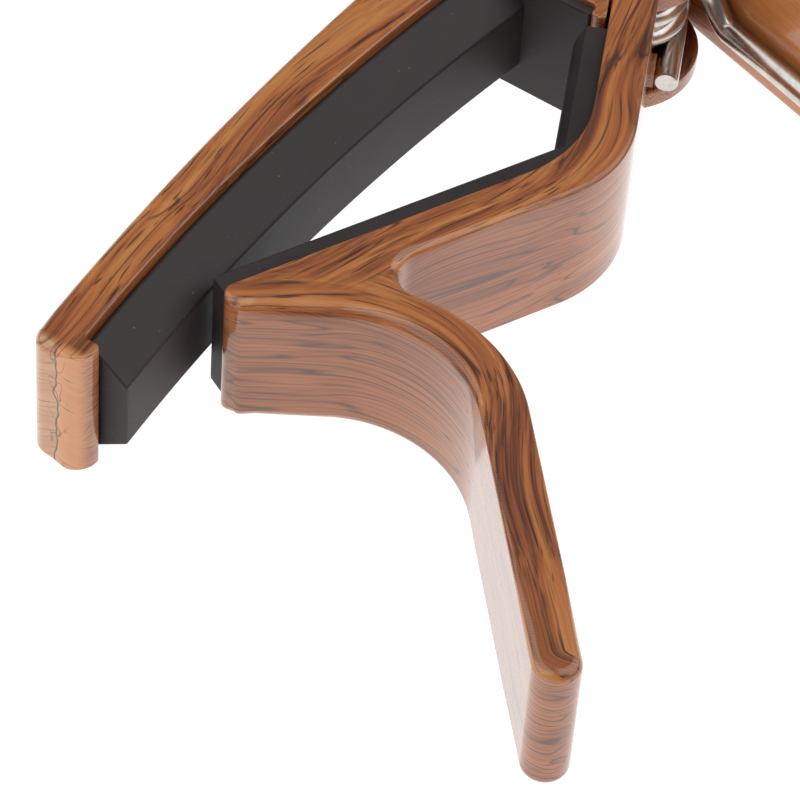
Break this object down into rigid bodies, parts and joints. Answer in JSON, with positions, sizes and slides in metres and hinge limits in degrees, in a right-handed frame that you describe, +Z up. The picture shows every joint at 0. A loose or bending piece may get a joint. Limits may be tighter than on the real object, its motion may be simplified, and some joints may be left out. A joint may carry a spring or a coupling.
{
  "type": "guitar capo",
  "caption": "Spring-loaded trigger capo: two wood-print castings on a hinge pin, with silicone pads that clamp across a guitar's strings and neck.",
  "frame": {"origin": "centre of the base of the bounding box, with the capo lying on its side", "axes": "+X along the string bar towards the hinge, +Y from the neck arm towards the back of the string bar, +Z up along the hinge pin"},
  "size_m": [0.0936, 0.0696, 0.015],
  "materials": {
    "printed_casting": "gloss clear coat over a dark-streaked rosewood-grain transfer print",
    "silicone": "matte black silicone",
    "nickel_steel": "bright nickel-plated spring steel",
    "pin_steel": "turned steel",
    "nylon": "matte nylon"
  },
  "bodies": {
    "bar": {"bar_arm": "printed_casting", "string_pad": "silicone", "torsion_spring": "nickel_steel", "spring_sleeve": "nylon", "pivot_pin": "pin_steel", "pin_cap": "pin_steel", "washer_top": "nylon", "washer_bottom": "nylon"},
    "jaw": {"trigger_arm": "printed_casting", "neck_pad": "silicone"}
  },
  "joints": [
    {"name": "jaw_hinge", "type": "hinge", "parent": "bar", "child": "jaw", "pos_m": [0.03281, 0.01827, 0.0075], "axis": [0, 0, 1], "range_deg": [0, 32], "stiffness_Nm_per_rad": 1.6, "springref_deg": -45.84, "deforming": ["torsion_spring"]}
  ]
}
